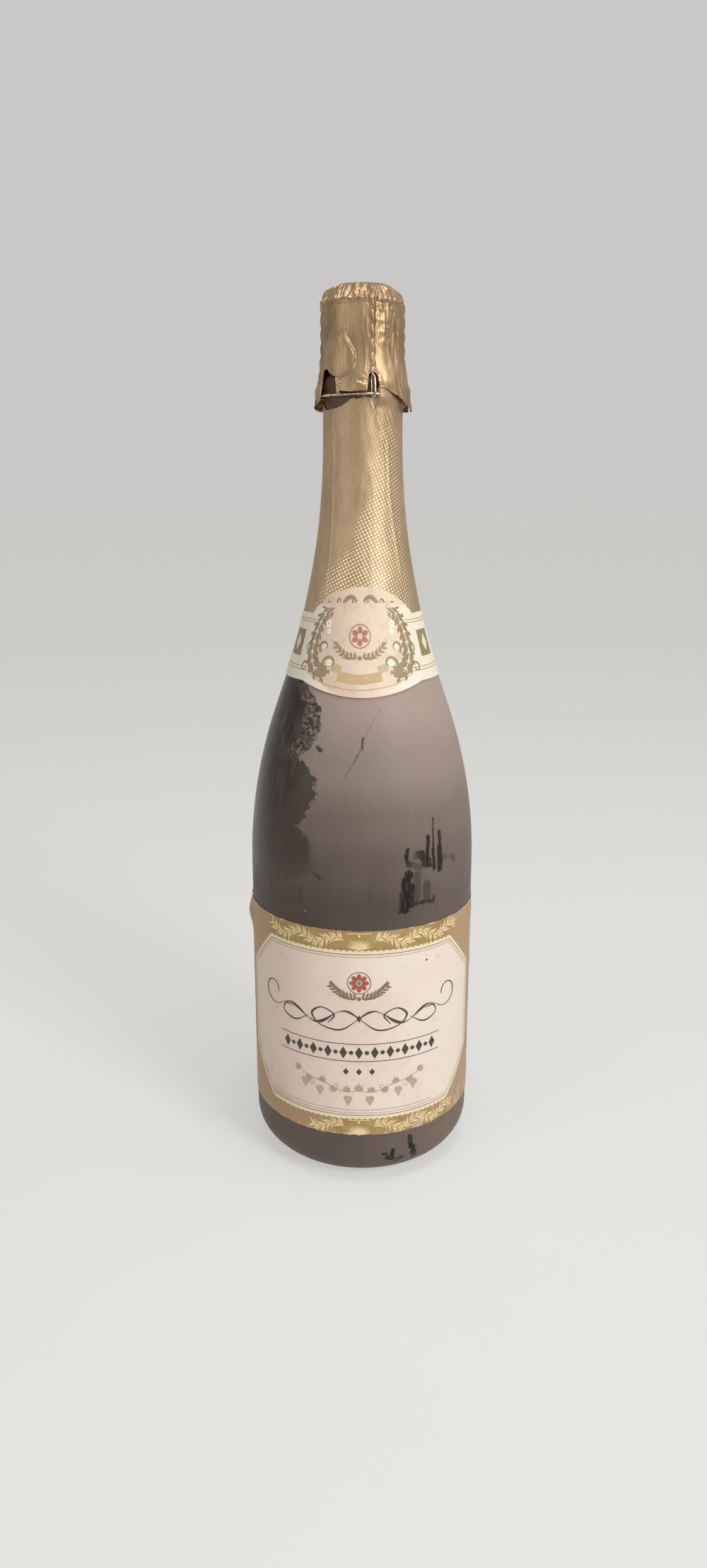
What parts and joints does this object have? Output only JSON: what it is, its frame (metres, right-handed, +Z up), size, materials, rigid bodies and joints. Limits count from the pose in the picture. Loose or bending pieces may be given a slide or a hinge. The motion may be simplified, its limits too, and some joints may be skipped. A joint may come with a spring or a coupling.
{
  "type": "champagne bottle",
  "caption": "Corked champagne bottle of dark glass with a wire cage over a mushroom cork, a torn foil hood, a neck foil, a collar label and a front label.",
  "frame": {"origin": "middle of the base, on the surface that the bottle stands on", "axes": "+Z up along the bottle's axis, -Y towards the front label, +X to the right of the front"},
  "size_m": [0.0882, 0.088, 0.3309],
  "materials": {
    "glass": "gloss",
    "wine": "gloss",
    "cork": "matte",
    "plaque": "satin",
    "wire": "satin",
    "hood_foil": "satin",
    "neck_foil": "satin",
    "collar_paper": "matte",
    "label_paper": "matte"
  },
  "bodies": {
    "bottle": {"glass_bottle": "glass", "wine": "wine", "foil_neck": "neck_foil", "collar_label": "collar_paper", "front_label": "label_paper"},
    "cork": {"cork_body": "cork", "cork_disc_upper": "cork", "cork_disc_lower": "cork"},
    "cage": {"cap_plaque": "plaque", "cage_frame": "wire", "cage_belt": "wire"},
    "hood": {"foil_hood": "hood_foil"},
    "twist": {"twist_knot": "wire"},
    "loop": {"eyelet_loop": "wire"}
  },
  "joints": [
    {"name": "cork_pull", "type": "slide", "parent": "bottle", "child": "cork", "axis": [0, 0, 1], "range_m": [0, 0.03], "deforming": ["cage_belt"]},
    {"name": "cage_lift", "type": "slide", "parent": "cork", "child": "cage", "axis": [0, 0, 1], "range_m": [0, 0.045], "deforming": ["cage_belt"]},
    {"name": "hood_lift", "type": "slide", "parent": "cage", "child": "hood", "axis": [0, 0, 1], "range_m": [0, 0.06], "deforming": ["foil_hood"]},
    {"name": "loop_twist", "type": "hinge", "parent": "cage", "child": "twist", "pos_m": [-0.00848, -0.01357, 0.29414], "axis": [-0.5299, -0.848, 0], "range_deg": [0, 1080], "deforming": ["foil_hood"]},
    {"name": "loop_fold", "type": "hinge", "parent": "twist", "child": "loop", "pos_m": [-0.00848, -0.01357, 0.29414], "axis": [0.848, -0.5299, 0], "range_deg": [0, 90], "deforming": ["foil_hood"]}
  ]
}
